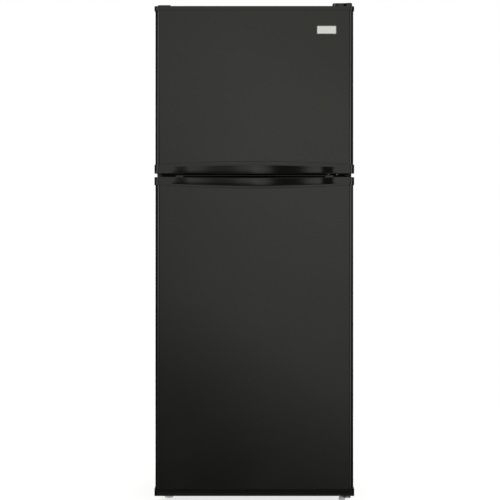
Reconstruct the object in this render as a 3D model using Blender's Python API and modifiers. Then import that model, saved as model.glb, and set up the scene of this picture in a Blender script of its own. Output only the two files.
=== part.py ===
"""Top freezer refrigerator, apartment size, modelled as an assembly of named parts.

Frame: metres, +Z up, the front faces -Y, the hinges are on the right (+X).
The origin is on the floor, under the middle of the whole object.
"""

import math

import bmesh
import bpy
from mathutils import Matrix, Vector

# Driving dimensions ---------------------------------------------------------------------------

GAP = 0.0003                  # air left between two parts that touch
CAP_HALF = 0.3012             # half the width over the door end caps
SKIN_HALF = 0.2983            # half the width of a door's steel skin
SHELL_HALF = 0.296            # half the width of the cabinet
FRONT = -0.305                # door face
DOOR_BACK = -0.255            # back of the skin and of the end caps
LINER_FACE = -0.253           # inner face of a door
CABINET_FRONT = -0.240        # face that the gaskets seal on
CABINET_BACK = 0.3178
REAR = 0.3363                 # rear spacers, which touch the wall
CABINET_TOP = 1.4963
CABINET_FLOOR = 0.0385
APRON_TOP = 0.050             # top of the pan's front edge
DOOR_BOTTOM = 0.020
DOOR_SPLIT_LOW = 0.9805       # top of the lower door
DOOR_SPLIT_HIGH = 0.992       # underside of the freezer door
DOOR_TOP = 1.495

SHEET = 0.0012                # steel sheet
LINER = 0.0015                # formed plastic sheet
SKIN = 0.001
INNER_HALF = SHELL_HALF - SHEET - GAP

FREEZER_HALF, FREEZER_LOW, FREEZER_HIGH, FREEZER_DEPTH = 0.246, 1.016, 1.446, 0.256
FRIDGE_HALF, FRIDGE_LOW, FRIDGE_HIGH, FRIDGE_DEPTH = 0.255, 0.085, 0.957, 0.275
STEP_FRONT, STEP_TOP = 0.083, 0.290       # hump over the compressor, inside the lower cavity
BAY_FRONT, BAY_TOP = 0.1298, 0.2445       # compressor bay
RAIL_LOW, RAIL_HIGH = 0.962, 1.011        # steel rail between the two mouths
FLANGE_HALF = 0.2815

HINGE_X, HINGE_Y = 0.2815, -0.280
PIN_RADIUS, PIN_HOLE = 0.004, 0.0044

CAP_TOP_HEIGHT = 0.012
CAP_LOW_HEIGHT = 0.0226
SPLIT_CAP_HIGH = 1.018        # top edge of the freezer door's lower cap, at its ends
SPLIT_CAP_LOW = 0.957         # lower edge of the fridge door's upper cap, at its ends
ARC_HALF, ARC_RISE = 0.2832, 0.0088
BEND = 0.013                  # corner radius of a door seen from above
TOE_ROUND = 0.008             # lower front edge of the bottom cap
SEAM = 0.0012                 # open joint between a skin and the arc of its cap

HANDLE_HALF, SHOULDER = 0.248, 0.192      # the grip fades into the door between the two
HANDLE_END, HANDLE_BOW = 0.0065, 0.0175    # its height at the shoulders, and the bow on top of that
GRIP_WALL = 0.005
POCKET_HALF = 0.190

FREEZER_SHELF = 1.212         # underside of the freezer's shelf
SHELF_HEIGHTS = (0.2975, 0.490, 0.690)    # the lowest covers the crisper
DAIRY_LOW, DAIRY_HIGH, DAIRY_HALF = 0.825, 0.909, 0.200
BIN_DEPTH = -0.145
LID_PIVOT_Y, LID_PIVOT_Z = -0.1500, 0.9035
FOOT_LEFT_X, FOOT_LEFT_Y = 0.262, -0.205
FOOT_RIGHT_X, FOOT_RIGHT_Y = 0.2665, -0.2505
ROLLER_X, ROLLER_Y, ROLLER_RADIUS = 0.255, 0.288, 0.015
FAN_X, FAN_Z = 0.0, 1.355
ROUND = 32                    # facets of a round part


# Scene and materials --------------------------------------------------------------------------

for existing in list(bpy.data.objects):
    bpy.data.objects.remove(existing, do_unlink=True)

PARTS = bpy.data.collections.new("refrigerator")
CUTTERS = bpy.data.collections.new("cutters")
for group in (PARTS, CUTTERS):
    bpy.context.scene.collection.children.link(group)


def material(name, colour, roughness, metallic=0.0, alpha=1.0):
    made = bpy.data.materials.new(name)
    made.use_nodes = True
    shader = made.node_tree.nodes["Principled BSDF"]
    shader.inputs["Base Color"].default_value = (*colour, 1.0)
    shader.inputs["Roughness"].default_value = roughness
    shader.inputs["Metallic"].default_value = metallic
    shader.inputs["Alpha"].default_value = alpha
    return made


BLACK_PAINT = material("black_paint", (0.030, 0.030, 0.028), 0.35)
BLACK_GLOSS = material("black_gloss_plastic", (0.022, 0.022, 0.021), 0.2)
BLACK_PLASTIC = material("black_plastic", (0.030, 0.030, 0.029), 0.5)
WHITE_PLASTIC = material("white_plastic", (0.82, 0.83, 0.82), 0.35)
GREY_PLASTIC = material("grey_plastic", (0.45, 0.47, 0.48), 0.4)
CLEAR_PLASTIC = material("clear_plastic", (0.80, 0.87, 0.90), 0.15, alpha=0.4)
GLASS = material("shelf_glass", (0.75, 0.88, 0.85), 0.05, alpha=0.35)
FOAM = material("foam", (0.85, 0.76, 0.52), 0.9)
STEEL = material("zinc_steel", (0.62, 0.63, 0.64), 0.35, 1.0)
ALUMINIUM = material("aluminium", (0.75, 0.76, 0.77), 0.35, 1.0)
RUBBER = material("gasket_rubber", (0.05, 0.05, 0.05), 0.6)
COMPRESSOR_PAINT = material("compressor_paint", (0.02, 0.02, 0.02), 0.4)


# Modelling helpers ----------------------------------------------------------------------------

def add(name, mesh, paint=None):
    """A part when it has paint, otherwise a hidden cutter or piece to join."""
    obj = bpy.data.objects.new(name, mesh)
    if paint:
        PARTS.objects.link(obj)
        mesh.materials.append(paint)
        return obj
    CUTTERS.objects.link(obj)
    obj.hide_render = True
    obj.display_type = "WIRE"
    return obj


def recentre(obj, point):
    """Moves the object's origin to a point, leaving its shape where it is."""
    obj.data.transform(Matrix.Translation(-Vector(point)))
    obj.location = point
    return obj


def mesh_of(name, bm):
    bm.normal_update()
    bmesh.ops.recalc_face_normals(bm, faces=bm.faces)
    mesh = bpy.data.meshes.new(name)
    bm.to_mesh(mesh)
    bm.free()
    return mesh


def boxes(name, corners, paint=None):
    """One object holding a box for each pair of corners ((x, y, z), (x, y, z))."""
    bm = bmesh.new()
    for low, high in corners:
        low, high = Vector(low), Vector(high)
        size = Matrix.Diagonal((*(high - low), 1.0))
        bmesh.ops.create_cube(bm, size=1.0, matrix=Matrix.Translation((low + high) / 2) @ size)
    return add(name, mesh_of(name, bm), paint)


def box(name, low, high, paint=None):
    made = boxes(name, [(low, high)], paint)
    return recentre(made, (Vector(low) + Vector(high)) / 2)


def bevelled(obj, width, segments=2):
    bevel = obj.modifiers.new("round_edges", "BEVEL")
    bevel.width = width
    bevel.segments = segments
    return obj


TURNS = {
    "Z": Matrix.Identity(4),
    "Y": Matrix.Rotation(math.radians(90), 4, "X"),
    "X": Matrix.Rotation(math.radians(90), 4, "Y"),
}


def cylinder(name, centre, radius, length, axis="Z", paint=None, facets=ROUND, top_radius=None):
    bm = bmesh.new()
    bmesh.ops.create_cone(
        bm,
        cap_ends=True,
        segments=facets,
        radius1=radius,
        radius2=radius if top_radius is None else top_radius,
        depth=length,
    )
    bm.transform(TURNS[axis])
    made = add(name, mesh_of(name, bm), paint)
    made.location = centre
    return made


# Outlines are drawn on a plane and given thickness along the third axis.
PLANES = {
    "XY": Matrix.Identity(4),
    "XZ": Matrix(((1, 0, 0, 0), (0, 0, -1, 0), (0, 1, 0, 0), (0, 0, 0, 1))),
    "YZ": Matrix(((0, 0, 1, 0), (1, 0, 0, 0), (0, 1, 0, 0), (0, 0, 0, 1))),
}


def prism(name, outline, plane, low, high, paint=None):
    """A flat outline on a plane, made thick from low to high along the plane's normal axis."""
    curve = bpy.data.curves.new(name, "CURVE")
    curve.dimensions = "2D"
    curve.fill_mode = "BOTH"
    curve.extrude = (high - low) / 2
    spline = curve.splines.new("POLY")
    spline.points.add(len(outline) - 1)
    for point, (a, b) in zip(spline.points, outline):
        point.co = (a, b, 0, 1)
    spline.use_cyclic_u = True
    source = bpy.data.objects.new(name + "_outline", curve)
    CUTTERS.objects.link(source)
    middle = (low + high) / 2
    along = {"XY": (0, 0, middle), "XZ": (0, middle, 0), "YZ": (middle, 0, 0)}[plane]
    source.matrix_world = Matrix.Translation(along) @ PLANES[plane]
    bpy.context.view_layer.update()
    graph = bpy.context.evaluated_depsgraph_get()
    mesh = bpy.data.meshes.new_from_object(source.evaluated_get(graph))
    mesh.transform(source.matrix_world)
    bpy.data.objects.remove(source)
    bm = bmesh.new()
    bm.from_mesh(mesh)
    bmesh.ops.remove_doubles(bm, verts=bm.verts, dist=1e-6)
    bpy.data.meshes.remove(mesh)
    return add(name, mesh_of(name, bm), paint)


def rounded(corners, steps=5):
    """An outline whose corners (x, y, radius) are arcs."""
    points = []
    for i, (x, y, radius) in enumerate(corners):
        here = Vector((x, y))
        if not radius:
            points.append((x, y))
            continue
        before = (Vector(corners[i - 1][:2]) - here).normalized()
        after = (Vector(corners[(i + 1) % len(corners)][:2]) - here).normalized()
        half = before.angle(after) / 2
        centre = here + (before + after).normalized() * (radius / math.sin(half))
        start = here + before * (radius / math.tan(half)) - centre
        end = here + after * (radius / math.tan(half)) - centre
        sweep = math.atan2(start.cross(end), start.dot(end))
        for k in range(steps + 1):
            arm = Matrix.Rotation(sweep * k / steps, 2) @ start
            points.append(tuple(centre + arm))
    return points


def turned(name, centre, profile, paint=None, steps=ROUND):
    """A solid turned about the vertical through centre. The profile (radius, z) runs from top to bottom."""
    mesh = bpy.data.meshes.new(name)
    edges = [(k, k + 1) for k in range(len(profile) - 1)]
    mesh.from_pydata([(radius, 0, z) for radius, z in profile], edges, [])
    made = add(name, mesh, paint)
    made.location = centre
    screw = made.modifiers.new("turn", "SCREW")
    screw.steps = steps
    screw.render_steps = steps
    screw.use_merge_vertices = True
    screw.merge_threshold = 0.0001
    return made


def boolean(obj, other, operation):
    modifier = obj.modifiers.new(other.name, "BOOLEAN")
    modifier.operation = operation
    modifier.object = other
    modifier.solver = "EXACT"


def cut(obj, *cutters):
    for cutter in cutters:
        boolean(obj, cutter, "DIFFERENCE")
    return obj


def join(obj, *others):
    for other in others:
        boolean(obj, other, "UNION")
    return obj


def common(obj, other):
    boolean(obj, other, "INTERSECT")
    return obj


def axis_at(name, point):
    """An empty on a joint's axis, which the joint's parts hang from."""
    empty = bpy.data.objects.new(name, None)
    PARTS.objects.link(empty)
    empty.location = point
    bpy.context.view_layer.update()
    return empty


def hang(obj, empty):
    obj.parent = empty
    obj.matrix_parent_inverse = empty.matrix_world.inverted()
    return obj


def open_box(name, low, high, wall, paint, floor=None):
    """A tray with an open top."""
    low, high = Vector(low), Vector(high)
    made = box(name, low, high, paint)
    floor = wall if floor is None else floor
    inside = box(name + "_inside", low + Vector((wall, wall, floor)), high + Vector((-wall, -wall, 0.02)))
    return cut(made, inside)


# Cabinet --------------------------------------------------------------------------------------

def fridge_profile(grow):
    """The lower cavity seen from the side, grown outwards by a wall thickness."""
    return [
        (CABINET_FRONT - 0.002, FRIDGE_LOW - grow),
        (STEP_FRONT + grow, FRIDGE_LOW - grow),
        (STEP_FRONT + grow, STEP_TOP - grow),
        (FRIDGE_DEPTH + grow, STEP_TOP - grow),
        (FRIDGE_DEPTH + grow, FRIDGE_HIGH + grow),
        (CABINET_FRONT - 0.002, FRIDGE_HIGH + grow),
    ]


def freezer_profile(grow):
    return [
        (CABINET_FRONT - 0.002, FREEZER_LOW - grow),
        (FREEZER_DEPTH + grow, FREEZER_LOW - grow),
        (FREEZER_DEPTH + grow, FREEZER_HIGH + grow),
        (CABINET_FRONT - 0.002, FREEZER_HIGH + grow),
    ]


def shell():
    """Folded steel wrapper: two sides and a top, with a flange turned in round the front."""
    bm = bmesh.new()
    size = Vector((2 * SHELL_HALF, CABINET_BACK - CABINET_FRONT, CABINET_TOP - CABINET_FLOOR))
    centre = Vector((0, (CABINET_BACK + CABINET_FRONT) / 2, (CABINET_TOP + CABINET_FLOOR) / 2))
    bmesh.ops.create_cube(bm, size=1.0, matrix=Matrix.Translation(centre) @ Matrix.Diagonal((*size, 1)))
    front = next(f for f in bm.faces if f.normal.y < -0.5)
    unwanted = [f for f in bm.faces if f.normal.y > 0.5 or f.normal.z < -0.5]
    flanges = bmesh.ops.inset_region(bm, faces=[front], thickness=0.014, use_even_offset=True)["faces"]
    unwanted += [front, min(flanges, key=lambda f: f.calc_center_median().z)]
    bmesh.ops.delete(bm, geom=unwanted, context="FACES")
    for vertex in bm.verts:
        if vertex.co.z < CABINET_FLOOR + 0.02:
            vertex.co.z = CABINET_FLOOR
    mesh = bpy.data.meshes.new("cabinet_shell")
    bm.to_mesh(mesh)
    bm.free()
    made = add("cabinet_shell", mesh, BLACK_PAINT)
    walls = made.modifiers.new("sheet", "SOLIDIFY")
    walls.thickness = SHEET
    walls.offset = -1
    walls.use_even_offset = True
    return made


def liner(name, profile, half, flange_low, flange_high):
    """Formed inner cabinet: a box open at the front, with a flange round its mouth."""
    outline = [(max(y, CABINET_FRONT), z) for y, z in profile(LINER)]
    made = prism(name, outline, "YZ", -half - LINER, half + LINER, WHITE_PLASTIC)
    flange = box(
        name + "_flange",
        (-FLANGE_HALF, CABINET_FRONT, flange_low),
        (FLANGE_HALF, CABINET_FRONT + LINER, flange_high),
    )
    hollow = prism(name + "_hollow", profile(0), "YZ", -half, half)
    return cut(join(made, flange), hollow)


def foam():
    front, back = CABINET_FRONT + LINER + GAP, CABINET_BACK - 0.0018
    apron, apron_top = front + 0.0020, APRON_TOP + GAP
    bottom, top = CABINET_FLOOR + 0.0020, CABINET_TOP - SHEET - 2 * GAP
    bay_front, bay_top = BAY_FRONT - 0.0018, BAY_TOP + 0.0018
    outline = [
        (apron, bottom), (bay_front, bottom), (bay_front, bay_top), (back, bay_top), (back, top),
        (front, top), (front, apron_top), (apron, apron_top),
    ]
    made = prism("insulation_foam", outline, "YZ", -INNER_HALF, INNER_HALF, FOAM)
    grow = LINER + GAP
    lower = prism("foam_fridge_cavity", fridge_profile(grow), "YZ", -FRIDGE_HALF - grow, FRIDGE_HALF + grow)
    half = FREEZER_HALF + grow
    upper = prism("foam_freezer_cavity", freezer_profile(grow), "YZ", -half, half)
    return cut(made, lower, upper)


def shelf_ribs(liner_object, half, heights, end=0.200):
    """Ledges formed in both side walls, which the shelves slide on."""
    for height in heights:
        for side in (-1, 1):
            inner, outer = side * (half - 0.0085), side * (half + 0.0010)
            rib = box(
                f"{liner_object.name}_rib_{height:.2f}_{side}",
                (min(inner, outer), -0.100, height - 0.008),
                (max(inner, outer), end, height),
            )
            join(liner_object, rib)


def base_frame():
    """Folded bottom pan: it steps up over the compressor bay, and carries the wheel brackets."""
    t = LINER
    front, back = CABINET_FRONT + SHEET + GAP, CABINET_BACK - 0.0018
    low = CABINET_FLOOR
    outline = [
        (front, low), (back, low), (back, low + t), (BAY_FRONT, low + t),
        (BAY_FRONT, BAY_TOP), (back, BAY_TOP), (back, BAY_TOP + t), (BAY_FRONT - t, BAY_TOP + t),
        (BAY_FRONT - t, low + t), (front + t, low + t), (front + t, APRON_TOP), (front, APRON_TOP),
    ]
    made = prism("base_frame", outline, "YZ", -INNER_HALF, INNER_HALF, BLACK_PLASTIC)
    boss = cylinder("foot_boss", (-FOOT_LEFT_X, FOOT_LEFT_Y, 0.0315), 0.010, 0.016)
    hole = cylinder("foot_boss_hole", (-FOOT_LEFT_X, FOOT_LEFT_Y, 0.030), 0.0044, 0.015)
    made = cut(join(made, boss), hole)
    for side in (-1, 1):
        for ear in (-1, 1):
            x = side * ROLLER_X + ear * 0.0125
            plate = box(
                f"ear_{side}_{ear}",
                (x - 0.0015, ROLLER_Y - 0.012, 0.006),
                (x + 0.0015, ROLLER_Y + 0.012, low + 0.001),
            )
            join(made, plate)
        middle = (side * ROLLER_X, ROLLER_Y, ROLLER_RADIUS)
        join(made, cylinder(f"axle_{side}", middle, 0.003, 0.030, "X", facets=16))
    return made


def foot(name, x, y, pad_radius, pad_height, stud_top):
    stud = 0.0040
    profile = [
        (0, stud_top), (stud, stud_top), (stud, pad_height), (pad_radius, pad_height - 0.001),
        (pad_radius, 0.002), (pad_radius - 0.0015, 0), (0, 0),
    ]
    return turned(name, (x, y, 0), profile, GREY_PLASTIC, 24)


def roller(name, x):
    made = cylinder(name, (x, ROLLER_Y, ROLLER_RADIUS), ROLLER_RADIUS, 0.018, "X", GREY_PLASTIC)
    return cut(made, cylinder(name + "_bore", (x, ROLLER_Y, ROLLER_RADIUS), 0.0033, 0.024, "X", facets=16))


def cabinet():
    shell()
    foam()
    flange_top = CABINET_TOP - 0.014 - GAP
    upper = liner("freezer_liner", freezer_profile, FREEZER_HALF, RAIL_HIGH + GAP, flange_top)
    shelf_ribs(upper, FREEZER_HALF, (FREEZER_SHELF - GAP,), 0.160)
    lower = liner("fridge_liner", fridge_profile, FRIDGE_HALF, APRON_TOP + GAP, RAIL_LOW - GAP)
    ribs = [height - 0.006 - GAP for height in SHELF_HEIGHTS]
    shelf_ribs(lower, FRIDGE_HALF, ribs[:1], STEP_FRONT + 0.001)
    shelf_ribs(lower, FRIDGE_HALF, ribs[1:])
    box(
        "divider_rail",
        (-FLANGE_HALF, CABINET_FRONT, RAIL_LOW),
        (FLANGE_HALF, CABINET_FRONT + LINER, RAIL_HIGH),
        BLACK_PAINT,
    )
    base_frame()
    back = CABINET_BACK - 0.0015
    outer = back + SHEET
    panel = box("back_panel", (-INNER_HALF, back, BAY_TOP + 0.0018), (INNER_HALF, outer, 1.4945), STEEL)
    for side in (-1, 1):
        x = side * 0.2
        join(panel, box(f"spacer_{side}", (x - 0.02, back + 0.001, 1.40), (x + 0.02, REAR, 1.43)))
    cover = box("rear_cover", (-INNER_HALF, back, 0.0405), (INNER_HALF, outer, BAY_TOP - GAP), BLACK_PAINT)
    slots = []
    for row in range(4):
        for column in range(6):
            x, z = -0.2 + 0.08 * column, 0.08 + 0.04 * row
            slots.append(((x - 0.028, back - 0.01, z), (x + 0.028, back + 0.01, z + 0.008)))
    cut(cover, boxes("rear_slots", slots))
    gland_x, gland_z = 0.255, 0.064
    cut(cover, cylinder("gland_hole", (gland_x, back, gland_z), 0.0085, 0.02, "Y", facets=24))
    gland = cylinder("cord_gland", (gland_x, back + 0.001, gland_z), 0.008, 0.014, "Y", BLACK_PLASTIC, 24)
    flange = cylinder("gland_flange", (gland_x, outer + 0.0023, gland_z), 0.011, 0.004, "Y", facets=24)
    bore = cylinder("gland_bore", (gland_x, back, gland_z), 0.004, 0.06, "Y", facets=24)
    cut(join(gland, flange), bore)
    foot("foot_left", -FOOT_LEFT_X, FOOT_LEFT_Y, 0.013, 0.018, 0.036)
    foot("foot_right", FOOT_RIGHT_X, FOOT_RIGHT_Y, 0.0095, 0.011, 0.0180)
    roller("rear_roller_left", -ROLLER_X)
    roller("rear_roller_right", ROLLER_X)


# Hinges ---------------------------------------------------------------------------------------

def hinge_tab(name, low, high, root_y, inner_x):
    """Plate outline that narrows to a round eye on the hinge axis."""
    outline = rounded([
        (inner_x, root_y, 0),
        (0.2908, root_y, 0),
        (0.2908, HINGE_Y - 0.012, 0.0092),
        (HINGE_X - 0.012, HINGE_Y - 0.012, 0.0118),
        (HINGE_X - 0.012, root_y - 0.008, 0.006),
    ])
    return prism(name, outline, "XY", low, high, STEEL)


def pin(name, low, high):
    return cylinder(name, (HINGE_X, HINGE_Y, (low + high) / 2), PIN_RADIUS, high - low, facets=24)


def hinges():
    plate = CABINET_TOP + GAP
    top = hinge_tab("top_hinge", plate, plate + 0.003, -0.180, 0.245)
    join(top, pin("top_pin", 1.4845, plate + 0.002))

    middle = hinge_tab("middle_hinge", 0.9848, 0.9878, CABINET_FRONT - 0.0018, 0.218)
    face = CABINET_FRONT - GAP
    upright = box("middle_upright", (0.216, face - 0.003, 0.9780), (0.2935, face, 0.9950))
    join(middle, upright, pin("middle_pin", 0.966, 1.006))

    low, high = 0.0125, 0.0155
    bottom = hinge_tab("bottom_hinge", low, high, CABINET_FRONT + 0.001, 0.240)
    under = CABINET_FLOOR - GAP
    web = box("bottom_web", (0.238, CABINET_FRONT - 0.0005, low), (0.2935, CABINET_FRONT + 0.0025, under))
    ledge = box("bottom_ledge", (0.238, CABINET_FRONT, 0.0352), (0.2935, -0.185, under))
    join(bottom, web, ledge, pin("bottom_pin", low + 0.001, 0.034))
    cut(bottom, cylinder("foot_hole", (FOOT_RIGHT_X, FOOT_RIGHT_Y, 0.014), 0.0044, 0.010, facets=24))

    cover_low = (0.2368, -0.294, CABINET_TOP + GAP)
    cover_high = (0.2930, -0.168, 1.506)
    cover = bevelled(box("top_hinge_cover", cover_low, cover_high, BLACK_PLASTIC), 0.002)
    wall = 0.0016
    inside = box(
        "hinge_cover_inside",
        (cover_low[0] + wall, cover_low[1] + wall, cover_low[2] - 0.01),
        (cover_high[0] - wall + 0.0015, cover_high[1] - wall, cover_high[2] - wall),
    )
    inside.location.x -= 0.00075
    cut(cover, inside)


# Doors ----------------------------------------------------------------------------------------

def arc_edge(height, rise, extra=0.0, count=25):
    """Points of the shallow arc between a steel skin and its end cap, left to right."""
    half = ARC_HALF + extra
    points = []
    for k in range(count):
        x = half * (2 * k / (count - 1) - 1)
        points.append((x, height + rise * (1 - (x / half) ** 2)))
    return points


def skin_outline():
    bend = BEND
    inner = SKIN_HALF - SKIN
    return rounded([
        (SKIN_HALF, DOOR_BACK, 0),
        (SKIN_HALF, FRONT, bend),
        (-SKIN_HALF, FRONT, bend),
        (-SKIN_HALF, DOOR_BACK, 0),
        (-inner, DOOR_BACK, 0),
        (-inner, FRONT + SKIN, bend - SKIN),
        (inner, FRONT + SKIN, bend - SKIN),
        (inner, DOOR_BACK, 0),
    ])


def foam_outline():
    inner = SKIN_HALF - SKIN - GAP
    front = FRONT + SKIN + GAP
    bend = BEND - SKIN - GAP
    return rounded([
        (inner, DOOR_BACK + 0.0002, 0),
        (inner, front, bend),
        (-inner, front, bend),
        (-inner, DOOR_BACK + 0.0002, 0),
    ])


def cap_outline():
    return rounded([
        (CAP_HALF, DOOR_BACK, 0.002),
        (CAP_HALF, FRONT, BEND),
        (-CAP_HALF, FRONT, BEND),
        (-CAP_HALF, DOOR_BACK, 0.002),
    ])


def step_face(bm, face, levels):
    """Insets a face again and again. Each inner face moves to the rectangle (half width, low, high, y)."""
    for half, low, high, y in levels:
        bmesh.ops.inset_region(bm, faces=[face], thickness=0.0005, use_boundary=True, use_even_offset=True)
        middle = face.calc_center_median()
        for vertex in face.verts:
            vertex.co.x = math.copysign(half, vertex.co.x)
            vertex.co.z = low if vertex.co.z < middle.z else high
            vertex.co.y = y


def dike_levels(half, low, high, grow):
    """The raised rim of a door liner that carries the bins; grow is negative for the foam inside it."""
    draft, rim, rise, sink = 0.004, 0.022, 0.038, 0.009
    face = LINER_FACE + min(grow, 0)
    inner = half - draft - rim - grow
    foot = draft + rim + grow
    return [
        (half + grow, low - grow, high + grow, face),
        (half - draft + grow, low + draft - grow, high - draft + grow, LINER_FACE + rise + grow),
        (inner, low + foot, high - foot, LINER_FACE + rise + grow),
        (inner - draft, low + draft + foot, high - draft - foot, LINER_FACE - sink + grow),
    ]


def door_liner(name, low, high, dike):
    half = SKIN_HALF - 0.0005
    bm = bmesh.new()
    bmesh.ops.create_grid(bm, x_segments=1, y_segments=1, size=0.5)
    bm.transform(
        Matrix.Translation((0, LINER_FACE, (low + high) / 2))
        @ Matrix.Rotation(math.radians(-90), 4, "X")
        @ Matrix.Diagonal((2 * half, high - low, 1, 1))
    )
    bm.normal_update()
    face = next(iter(bm.faces))
    step_face(bm, face, dike_levels(*dike, 0.0))
    mesh = bpy.data.meshes.new(name)
    bm.to_mesh(mesh)
    bm.free()
    made = add(name, mesh, WHITE_PLASTIC)
    sheet = made.modifiers.new("sheet", "SOLIDIFY")
    sheet.thickness = LINER
    sheet.offset = -1
    sheet.solidify_mode = "NON_MANIFOLD"
    sheet.nonmanifold_thickness_mode = "CONSTRAINTS"
    return made


def door_foam(name, low, high, dike):
    made = prism(name, foam_outline(), "XY", low, high, FOAM)
    bm = bmesh.new()
    bm.from_mesh(made.data)
    bm.normal_update()
    back = max((f for f in bm.faces if f.normal.y > 0.9), key=lambda f: f.calc_area())
    step_face(bm, back, dike_levels(*dike, -(LINER + GAP)))
    bm.to_mesh(made.data)
    bm.free()
    return made


def gasket(name, low, high):
    outer, width = 0.281, 0.024
    back, front = CABINET_FRONT - GAP, LINER_FACE + GAP
    made = box(name, (-outer, front, low), (outer, back, high), RUBBER)
    inner = outer - width
    hole = box(name + "_hole", (-inner, front - 0.01, low + width), (inner, back + 0.01, high - width))
    return cut(made, hole)


def skin(name, low, high):
    return prism(name, skin_outline(), "XY", low, high, BLACK_PAINT)


def cap(name, low, high):
    return prism(name, cap_outline(), "XY", low, high, BLACK_PLASTIC)


def pin_hole(name, low, high):
    return cylinder(name, (HINGE_X, HINGE_Y, (low + high) / 2), PIN_HOLE, high - low, facets=24)


def bow(x):
    """How far the grip's front stands out from the door face at x."""
    swell = min(abs(x) / SHOULDER, 1.0)
    fade = min(max((abs(x) - SHOULDER) / (HANDLE_HALF - SHOULDER), 0.0), 1.0)
    ends = HANDLE_END * (0.5 + 0.5 * math.cos(math.pi * fade))
    return ends + HANDLE_BOW * (0.5 + 0.5 * math.cos(math.pi * swell))


def handle(name, ends, centre, pocket_low, pocket_high):
    """Bowed grip on a door's end cap. ends and centre give its (low, high) edges there."""
    count = 45
    xs = [HANDLE_HALF * math.sin(math.pi / 2 * (2 * k / (count - 1) - 1)) for k in range(count)]
    back = FRONT - GAP
    plan = [(-HANDLE_HALF, back), (HANDLE_HALF, back)]
    plan += [(x, back - max(bow(x), 0.0006)) for x in reversed(xs)]
    low, high = min(ends[0], centre[0]) - 0.002, max(ends[1], centre[1]) + 0.002
    made = prism(name, plan, "XY", low, high, BLACK_GLOSS)

    def edge(side):
        points = []
        for k in range(25):
            x = (HANDLE_HALF + 0.002) * (2 * k / 24 - 1)
            share = math.cos(math.pi / 2 * x / (HANDLE_HALF + 0.002))
            points.append((x, ends[side] + (centre[side] - ends[side]) * share))
        return points

    front_view = edge(0) + edge(1)[::-1]
    common(made, prism(name + "_front_view", front_view, "XZ", FRONT - 0.05, FRONT + 0.01))
    inside = [POCKET_HALF * (2 * k / 28 - 1) for k in range(29)]
    pocket = [(-POCKET_HALF, FRONT + 0.005), (POCKET_HALF, FRONT + 0.005)]
    pocket += [(x, back - max(bow(x) - GRIP_WALL, 0.001)) for x in reversed(inside)]
    cut(made, prism(name + "_pocket", pocket, "XY", pocket_low, pocket_high))
    return made


def bin_tray(name, low, high, half, depth, wall=0.0025):
    """Door bin: an open tray between the two sides of the rim."""
    made = open_box(name, (-half, LINER_FACE - 0.006, low), (half, depth, high), wall, CLEAR_PLASTIC)
    return made


def freezer_door():
    axis = axis_at("freezer_door_axis", (HINGE_X, HINGE_Y, DOOR_SPLIT_HIGH))
    cap_top = DOOR_TOP - CAP_TOP_HEIGHT
    dike = (0.232, 1.030, 1.432)
    parts = [
        skin("freezer_door_skin", SPLIT_CAP_HIGH + GAP, cap_top - 0.0006),
        door_foam("freezer_door_foam", SPLIT_CAP_HIGH + GAP, cap_top - GAP, dike),
        door_liner("freezer_door_liner", DOOR_SPLIT_HIGH + 0.0025, DOOR_TOP - 0.0025, dike),
        gasket("freezer_door_gasket", 0.996, 1.481),
    ]
    arc = [(-ARC_HALF, 1.0)] + arc_edge(SPLIT_CAP_HIGH + SEAM, ARC_RISE) + [(ARC_HALF, 1.0)]
    cut(parts[0], prism("freezer_arc_cut", arc, "XZ", FRONT - 0.01, FRONT + 0.0035))

    upper = cap("freezer_top_cap", cap_top, DOOR_TOP)
    cut(upper, pin_hole("freezer_top_hole", cap_top - 0.01, DOOR_TOP + 0.01))
    lower = cap("freezer_bottom_cap", DOOR_SPLIT_HIGH, SPLIT_CAP_HIGH)
    inset = 0.0004
    apron = [(-ARC_HALF + inset, 1.010)]
    apron += [(x * (1 - inset / ARC_HALF), z) for x, z in arc_edge(SPLIT_CAP_HIGH, ARC_RISE)]
    apron += [(ARC_HALF - inset, 1.010)]
    join(lower, prism("freezer_apron", apron, "XZ", FRONT, FRONT + SKIN))
    cut(lower, pin_hole("freezer_low_hole", DOOR_SPLIT_HIGH - 0.01, 1.008))
    parts += [upper, lower]
    parts.append(handle("freezer_handle", (0.9935, 1.0110), (0.9895, 1.0165), 0.9935, 1.05))
    parts.append(bin_tray("freezer_bin_upper", 1.250, 1.340, 0.1995, -0.160))
    parts.append(bin_tray("freezer_bin_lower", 1.070, 1.160, 0.1995, -0.160))
    badge_x, badge_z = 0.2173, 1.4230
    badge = box(
        "badge_plate",
        (badge_x - 0.029, FRONT - GAP - 0.0016, badge_z - 0.012),
        (badge_x + 0.029, FRONT - GAP, badge_z + 0.012),
        ALUMINIUM,
    )
    parts.append(bevelled(badge, 0.0005))
    plug_low, plug_high = (-0.2897, -0.298, DOOR_TOP + GAP), (-0.252, -0.262, DOOR_TOP + 0.0037)
    parts.append(bevelled(box("hinge_hole_plug", plug_low, plug_high, BLACK_PLASTIC), 0.0008))
    for part in parts:
        hang(part, axis)


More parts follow.
